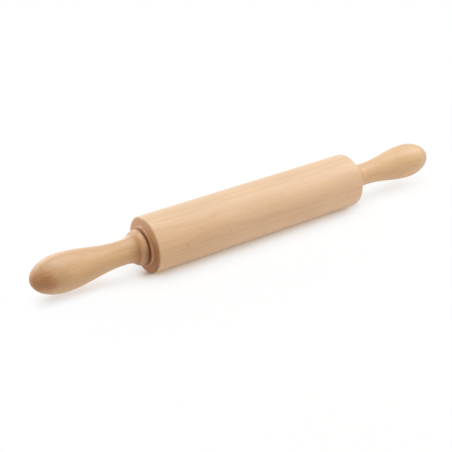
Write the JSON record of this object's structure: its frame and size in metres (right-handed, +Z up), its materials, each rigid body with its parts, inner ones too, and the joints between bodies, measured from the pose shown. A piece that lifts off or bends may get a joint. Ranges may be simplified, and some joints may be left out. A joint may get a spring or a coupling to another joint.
{
  "type": "rolling pin",
  "caption": "Turned wooden rolling pin whose barrel spins on a steel axle and ball bearings between two fixed bulb-shaped handles.",
  "frame": {"origin": "middle of the barrel, on the axle's centre line", "axes": "+X along the axle from the left handle to the right one, +Z up; the barrel lies on the table on its -Z side"},
  "size_m": [0.4824, 0.0564, 0.0564],
  "materials": {
    "barrel_wood": "fine sanded beech, waxed, low sheen",
    "handle_wood": "fine sanded beech, waxed, low sheen",
    "axle_steel": "drawn bright steel",
    "race_steel": "ground bearing steel",
    "ball_steel": "polished bearing steel",
    "insert_brass": "machined brass",
    "cage_nylon": "moulded nylon"
  },
  "bodies": {
    "roller": {"barrel": "barrel_wood", "outer_race_left": "race_steel", "outer_race_right": "race_steel", "bearing_shield_left_inside": "race_steel", "bearing_shield_left_outside": "race_steel", "bearing_shield_right_inside": "race_steel", "bearing_shield_right_outside": "race_steel"},
    "grip": {"axle": "axle_steel", "handle_left": "handle_wood", "handle_right": "handle_wood", "threaded_insert_left": "insert_brass", "threaded_insert_right": "insert_brass", "spacer_washer_left": "axle_steel", "spacer_washer_right": "axle_steel", "inner_race_left": "race_steel", "inner_race_right": "race_steel"},
    "cage_left": {"ball_cage_left": "cage_nylon", "bearing_ball_left_1": "ball_steel", "bearing_ball_left_2": "ball_steel", "bearing_ball_left_3": "ball_steel", "bearing_ball_left_4": "ball_steel", "bearing_ball_left_5": "ball_steel", "bearing_ball_left_6": "ball_steel", "bearing_ball_left_7": "ball_steel"},
    "cage_right": {"ball_cage_right": "cage_nylon", "bearing_ball_right_1": "ball_steel", "bearing_ball_right_2": "ball_steel", "bearing_ball_right_3": "ball_steel", "bearing_ball_right_4": "ball_steel", "bearing_ball_right_5": "ball_steel", "bearing_ball_right_6": "ball_steel", "bearing_ball_right_7": "ball_steel"}
  },
  "joints": [
    {"name": "grip_spin", "type": "hinge", "parent": "roller", "child": "grip", "pos_m": [0, 0, 0], "axis": [1, 0, 0], "continuous": true},
    {"name": "cage_spin_left", "type": "hinge", "parent": "roller", "child": "cage_left", "pos_m": [-0.124, 0, 0], "axis": [1, 0, 0], "continuous": true},
    {"name": "cage_spin_right", "type": "hinge", "parent": "roller", "child": "cage_right", "pos_m": [0.124, 0, 0], "axis": [1, 0, 0], "continuous": true}
  ],
  "couplings": [
    {"joint": "cage_spin_left", "follows": "grip_spin", "ratio": 0.36767},
    {"joint": "cage_spin_right", "follows": "grip_spin", "ratio": 0.36767}
  ]
}
